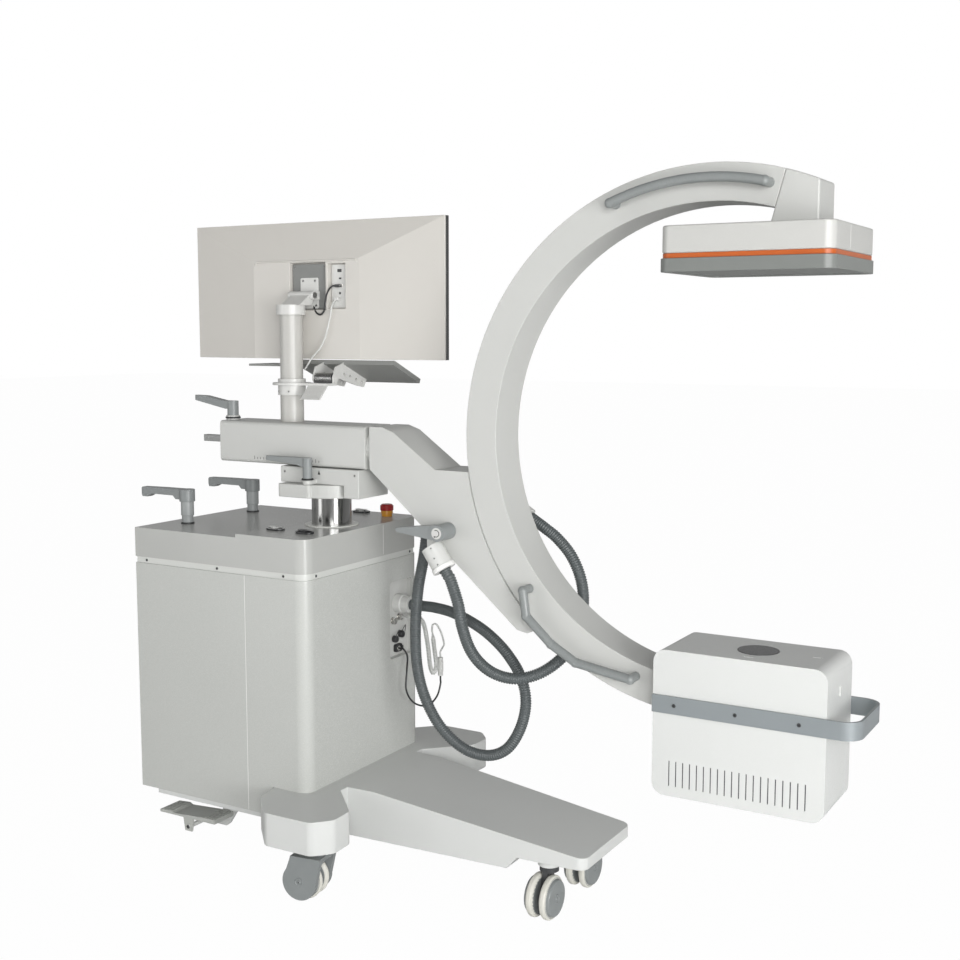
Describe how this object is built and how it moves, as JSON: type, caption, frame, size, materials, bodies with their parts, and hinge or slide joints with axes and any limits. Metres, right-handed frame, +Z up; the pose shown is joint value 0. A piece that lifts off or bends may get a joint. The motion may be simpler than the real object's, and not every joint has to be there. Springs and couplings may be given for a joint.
{
  "type": "mobile c-arm x-ray machine",
  "caption": "Mobile C-arm X-ray machine with a wheeled cabinet, a lifting carriage, a swivelling display and a C-shaped arm between tube housing and detector.",
  "frame": {"origin": "on the floor, in the centre plane of the machine, midway between the front of the tube housing's strap and the tips of the levers", "axes": "+X forward from the cabinet towards the C-arm, +Y to the machine's left, +Z up"},
  "size_m": [1.9286, 0.7958, 1.714],
  "materials": {
    "base_paint": "satin",
    "base_cast": "satin",
    "cabinet_paint": "satin",
    "cover_plastic": "gloss",
    "groove_metal": "satin",
    "white_plastic": "satin",
    "white_cord": "satin",
    "black_cord": "satin",
    "hose_black": "satin",
    "bezel_grey": "satin",
    "switch_orange": "satin",
    "stop_steel": "satin",
    "stop_red": "gloss",
    "lever_grey": "satin",
    "pedal_black": "matte",
    "fork_grey": "satin",
    "fork_black": "satin",
    "caster_tyre": "satin",
    "column_chrome": "polished",
    "arm_paint": "satin",
    "mast_paint": "satin",
    "bar_steel": "satin",
    "display_plastic": "satin",
    "screen_black": "gloss",
    "detector_plastic": "satin",
    "detector_orange": "satin",
    "detector_grey": "satin",
    "tank_plastic": "satin",
    "window_dark": "gloss"
  },
  "bodies": {
    "cart": {"base_frame": "base_cast", "cabinet_rear": "cabinet_paint", "cabinet_front": "cabinet_paint", "top_cover": "cover_plastic", "cover_band": "groove_metal", "column_sleeve": "base_paint", "connector_panel": "groove_metal", "hose_gland": "white_plastic", "hand_switch": "white_plastic", "switch_coil": "white_cord", "switch_cord": "white_cord", "panel_lead": "black_cord", "control_bezels": "bezel_grey", "lever_posts": "lever_grey", "hose_a": "hose_black"},
    "brake_lever": {"brake_lever": "lever_grey"},
    "steer_lever": {"steer_lever": "lever_grey"},
    "foot_pedal": {"foot_pedal": "pedal_black"},
    "estop_stem": {"estop_stem": "stop_steel"},
    "estop_cap": {"estop_cap": "stop_red"},
    "lift_switch_right": {"lift_switch_right": "switch_orange"},
    "lift_switch_left": {"lift_switch_left": "switch_orange"},
    "power_rocker": {"power_rocker": "switch_orange"},
    "fork_rear_right": {"fork_rear_right": "fork_grey"},
    "fork_rear_left": {"fork_rear_left": "fork_grey"},
    "fork_front_right": {"fork_front_right": "fork_black"},
    "fork_front_left": {"fork_front_left": "fork_black"},
    "wheel_rear_right": {"wheel_rear_right": "caster_tyre"},
    "wheel_rear_left": {"wheel_rear_left": "caster_tyre"},
    "wheel_front_right": {"wheel_front_right": "caster_tyre"},
    "wheel_front_left": {"wheel_front_left": "caster_tyre"},
    "lift": {"lift_column": "column_chrome", "pan_plate": "base_cast"},
    "pan": {"pan_block": "base_cast"},
    "pan_lock": {"pan_lock": "lever_grey"},
    "carriage": {"carriage_box": "arm_paint", "square_bar": "bar_steel", "display_mast": "mast_paint", "display_leads": "black_cord"},
    "slide_lock": {"slide_lock": "lever_grey"},
    "tray_arm": {"tray_bracket": "mast_paint"},
    "tray": {"console_tray": "mast_paint"},
    "display_head": {"display_cap": "mast_paint"},
    "display": {"tilt_bracket": "mast_paint", "display_shell": "display_plastic", "display_screen": "screen_black"},
    "neck": {"neck_body": "arm_paint", "hose_clamp": "white_plastic", "hose_b": "hose_black"},
    "neck_lock": {"neck_lock": "lever_grey"},
    "c_arm": {"c_arc": "arm_paint", "detector_mount": "arm_paint", "detector_shell": "detector_plastic", "detector_band": "detector_orange", "detector_base": "detector_grey", "c_handles": "lever_grey", "tank_shell": "tank_plastic", "tank_window": "window_dark", "tank_strap": "bar_steel"}
  },
  "joints": [
    {"name": "rear_caster_swivel_right", "type": "hinge", "parent": "cart", "child": "fork_rear_right", "pos_m": [-0.26425, -0.285, 0.11], "axis": [0, 0, 1], "continuous": true},
    {"name": "rear_wheel_spin_right", "type": "hinge", "parent": "fork_rear_right", "child": "wheel_rear_right", "pos_m": [-0.29792, -0.28973, 0.05], "axis": [-0.1392, 0.9903, 0], "continuous": true},
    {"name": "front_caster_swivel_right", "type": "hinge", "parent": "cart", "child": "fork_front_right", "pos_m": [0.25275, -0.08, 0.114], "axis": [0, 0, 1], "continuous": true},
    {"name": "front_wheel_spin_right", "type": "hinge", "parent": "fork_front_right", "child": "wheel_front_right", "pos_m": [0.25275, -0.104, 0.052], "axis": [-1, 0, 0], "continuous": true},
    {"name": "rear_caster_swivel_left", "type": "hinge", "parent": "cart", "child": "fork_rear_left", "pos_m": [-0.26425, 0.285, 0.11], "axis": [0, 0, 1], "continuous": true},
    {"name": "rear_wheel_spin_left", "type": "hinge", "parent": "fork_rear_left", "child": "wheel_rear_left", "pos_m": [-0.29792, 0.28027, 0.05], "axis": [-0.1392, 0.9903, 0], "continuous": true},
    {"name": "front_caster_swivel_left", "type": "hinge", "parent": "cart", "child": "fork_front_left", "pos_m": [0.25275, 0.08, 0.114], "axis": [0, 0, 1], "continuous": true},
    {"name": "front_wheel_spin_left", "type": "hinge", "parent": "fork_front_left", "child": "wheel_front_left", "pos_m": [0.25275, 0.104, 0.052], "axis": [1, 0, 0], "continuous": true},
    {"name": "brake_lever_turn", "type": "hinge", "parent": "cart", "child": "brake_lever", "pos_m": [-0.80425, -0.132, 0.93], "axis": [0, 0, 1], "range_deg": [-45, 45]},
    {"name": "steer_lever_turn", "type": "hinge", "parent": "cart", "child": "steer_lever", "pos_m": [-0.80425, 0.132, 0.93], "axis": [0, 0, 1], "range_deg": [-90, 90]},
    {"name": "foot_pedal_rock", "type": "hinge", "parent": "cart", "child": "foot_pedal", "pos_m": [-0.76625, -0.162, 0.05], "axis": [0, 1, 0], "range_deg": [-12, 12]},
    {"name": "estop_press", "type": "slide", "parent": "cart", "child": "estop_stem", "axis": [0, 0, 1], "range_m": [-0.006, 0]},
    {"name": "estop_twist", "type": "hinge", "parent": "estop_stem", "child": "estop_cap", "pos_m": [-0.39025, 0.197, 0.884], "axis": [0, 0, 1], "range_deg": [0, 45]},
    {"name": "lift_switch_right_rock", "type": "hinge", "parent": "cart", "child": "lift_switch_right", "pos_m": [-0.49225, -0.15, 0.8703], "axis": [0, 1, 0], "range_deg": [-8, 8], "stiffness_Nm_per_rad": 0.05},
    {"name": "lift_switch_left_rock", "type": "hinge", "parent": "cart", "child": "lift_switch_left", "pos_m": [-0.49225, 0.222, 0.8703], "axis": [0, 1, 0], "range_deg": [-8, 8], "stiffness_Nm_per_rad": 0.05},
    {"name": "power_rocker_rock", "type": "hinge", "parent": "cart", "child": "power_rocker", "pos_m": [-0.39225, -0.16, 0.8703], "axis": [0, 1, 0], "range_deg": [-8, 8], "stiffness_Nm_per_rad": 0.05},
    {"name": "lift_slide", "type": "slide", "parent": "cart", "child": "lift", "axis": [0, 0, 1], "range_m": [0, 0.4], "deforming": ["hose_a"]},
    {"name": "pan", "type": "hinge", "parent": "lift", "child": "pan", "pos_m": [-0.42825, 0, 0.99], "axis": [0, 0, 1], "range_deg": [-12.5, 12.5], "deforming": ["hose_a"]},
    {"name": "pan_lock_turn", "type": "hinge", "parent": "pan", "child": "pan_lock", "pos_m": [-0.44025, -0.084, 1.01], "axis": [0, 0, 1], "range_deg": [0, 60]},
    {"name": "carriage_slide", "type": "slide", "parent": "pan", "child": "carriage", "axis": [1, 0, 0], "range_m": [0, 0.2], "deforming": ["hose_a"]},
    {"name": "slide_lock_turn", "type": "hinge", "parent": "carriage", "child": "slide_lock", "pos_m": [-0.73725, -0.02, 1.16], "axis": [0, 0, 1], "range_deg": [-90, 90]},
    {"name": "tray_swivel", "type": "hinge", "parent": "carriage", "child": "tray_arm", "pos_m": [-0.55225, 0, 1.22], "axis": [0, 0, 1], "range_deg": [-60, 60]},
    {"name": "tray_tilt", "type": "hinge", "parent": "tray_arm", "child": "tray", "pos_m": [-0.45225, 0.012, 1.243], "axis": [1, 0, 0], "range_deg": [-12, 0]},
    {"name": "display_swivel", "type": "hinge", "parent": "carriage", "child": "display_head", "pos_m": [-0.55225, 0, 1.415], "axis": [0, 0, 1], "range_deg": [-90, 90], "deforming": ["display_leads"]},
    {"name": "display_tilt", "type": "hinge", "parent": "display_head", "child": "display", "pos_m": [-0.54025, 0.034, 1.456], "axis": [1, 0, 0], "range_deg": [0, 20], "deforming": ["display_leads"]},
    {"name": "neck_rotation", "type": "hinge", "parent": "carriage", "child": "neck", "pos_m": [-0.32225, 0, 1.074], "axis": [1, 0, 0], "range_deg": [-180, 180], "deforming": ["hose_a"]},
    {"name": "neck_lock_turn", "type": "hinge", "parent": "neck", "child": "neck_lock", "pos_m": [-0.03425, -0.09, 0.887], "axis": [0, 1, 0], "range_deg": [0, 60]},
    {"name": "orbital_rotation", "type": "hinge", "parent": "neck", "child": "c_arm", "pos_m": [0.60775, 0, 1.118], "axis": [0, -1, 0], "range_deg": [-30, 90], "deforming": ["hose_b"]}
  ]
}
